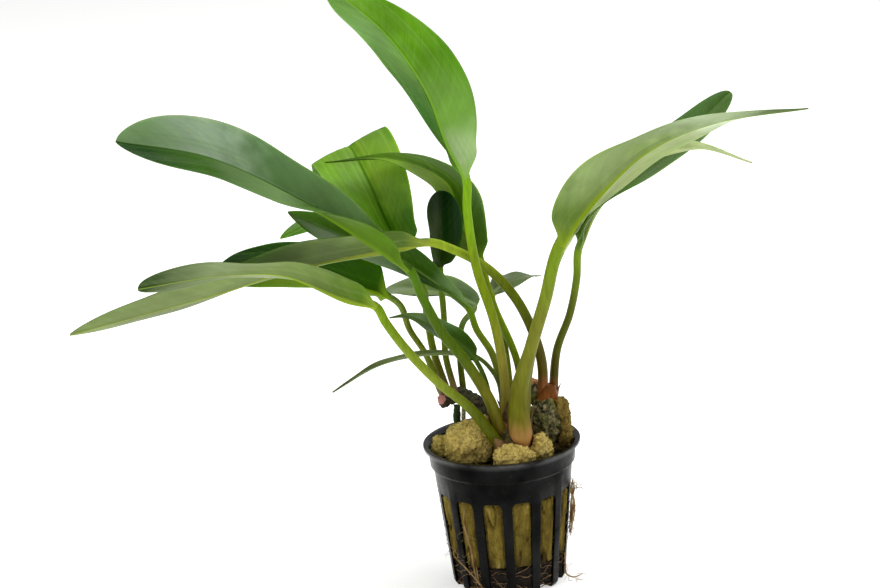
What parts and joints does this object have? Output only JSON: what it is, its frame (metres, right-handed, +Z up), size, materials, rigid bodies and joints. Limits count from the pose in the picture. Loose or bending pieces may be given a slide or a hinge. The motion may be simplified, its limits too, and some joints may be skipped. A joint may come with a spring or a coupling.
{
  "type": "potted anubias",
  "caption": "Small water plant with long stalks and lance-shaped leaves, growing from rhizomes packed in mineral wool in a round slotted pot.",
  "frame": {"origin": "centre of the pot's underside", "axes": "+Z up out of the pot, +X to the right as the picture shows the plant, -Y towards the viewer"},
  "size_m": [0.2288, 0.1238, 0.2103],
  "materials": {
    "pot": "black moulded plastic, satin",
    "wool": "tan mineral wool, fibrous and matt",
    "root": "tan and pale roots, matt",
    "rhizome": "dark bark with green algae, matt",
    "stalk": "green to red-brown skin, satin",
    "leaf_dark": "dark green, waxy",
    "leaf_bright": "bright yellow-green, waxy",
    "leaf_pale": "pale green underside, satin"
  },
  "bodies": {
    "root": {"pot": "pot", "wool_plug": "wool", "wool_left_large": "wool", "wool_left_small": "wool", "wool_front": "wool", "wool_right": "wool", "wool_crumb": "wool", "wool_right_strip": "wool", "root_mat": "root", "root_left_upper": "root", "root_left_lower": "root", "root_right_clump": "root", "root_right_low": "root", "root_anchor_dark": "root", "root_anchor_pale": "root", "rhizome_main": "rhizome", "rhizome_left": "rhizome", "rhizome_right": "rhizome", "stalk_top": "stalk", "stalk_left_upper": "stalk", "stalk_back_arching": "stalk", "stalk_arching": "stalk", "stalk_small_upright": "stalk", "stalk_left_inner": "stalk", "stalk_left_long": "stalk", "stalk_left_lower": "stalk", "stalk_left_broad": "stalk", "stalk_back_left": "stalk", "stalk_back_right": "stalk", "stalk_small_middle": "stalk", "stalk_small_low": "stalk", "stalk_right_front": "stalk", "stalk_right_narrow": "stalk", "stalk_right_back": "stalk", "blade_top": "leaf_bright", "blade_left_upper": "leaf_dark", "blade_back_arching": "leaf_bright", "blade_arching": "leaf_dark", "blade_small_upright": "leaf_dark", "blade_left_inner": "leaf_dark", "blade_left_long": "leaf_pale", "blade_left_lower": "leaf_pale", "blade_left_broad": "leaf_dark", "blade_back_left": "leaf_dark", "blade_back_right": "leaf_dark", "blade_small_middle": "leaf_dark", "blade_small_low": "leaf_dark", "blade_right_front": "leaf_pale", "blade_right_narrow": "leaf_pale", "blade_right_back": "leaf_dark"}
  },
  "joints": []
}
